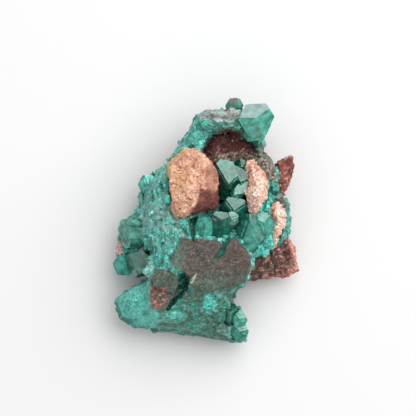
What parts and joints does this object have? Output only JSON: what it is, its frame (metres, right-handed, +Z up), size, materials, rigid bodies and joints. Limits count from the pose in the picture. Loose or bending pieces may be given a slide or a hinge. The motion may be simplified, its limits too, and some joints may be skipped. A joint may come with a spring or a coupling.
{
  "type": "dioptase on matrix specimen",
  "caption": "Emerald-green dioptase crystals and turquoise crystalline crust on rust-brown rock, with a pale rock block and two ribs of peach calcite.",
  "frame": {"origin": "middle of the flat underside of the host rock, where the specimen rests", "axes": "+Z up from the underside, +Y along the specimen's length towards the big crown crystal"},
  "size_m": [0.0372, 0.0486, 0.0252],
  "materials": {
    "host_rock": "rough, granular, rust-brown",
    "crust": "fine-grained crystalline dioptase and copper silicate, sparkling",
    "dioptase": "glassy, translucent emerald-green crystal",
    "pale_rock": "matt, granular, pale tan",
    "calcite": "fine sugary calcite, peach with dark specks"
  },
  "bodies": {
    "root": {"host_rock": "host_rock", "dioptase_crust": "crust", "pale_rock_block": "pale_rock", "calcite_rib_upper": "calcite", "calcite_rib_lower": "calcite", "crown_crystals": "dioptase", "ledge_crystal": "dioptase", "vug_crystals": "dioptase", "bank_crystals": "dioptase", "pyramid_crystals": "dioptase", "upper_west_crystals": "dioptase", "west_crystals": "dioptase", "shoulder_crystal": "dioptase", "foot_crystals": "dioptase"}
  },
  "joints": []
}
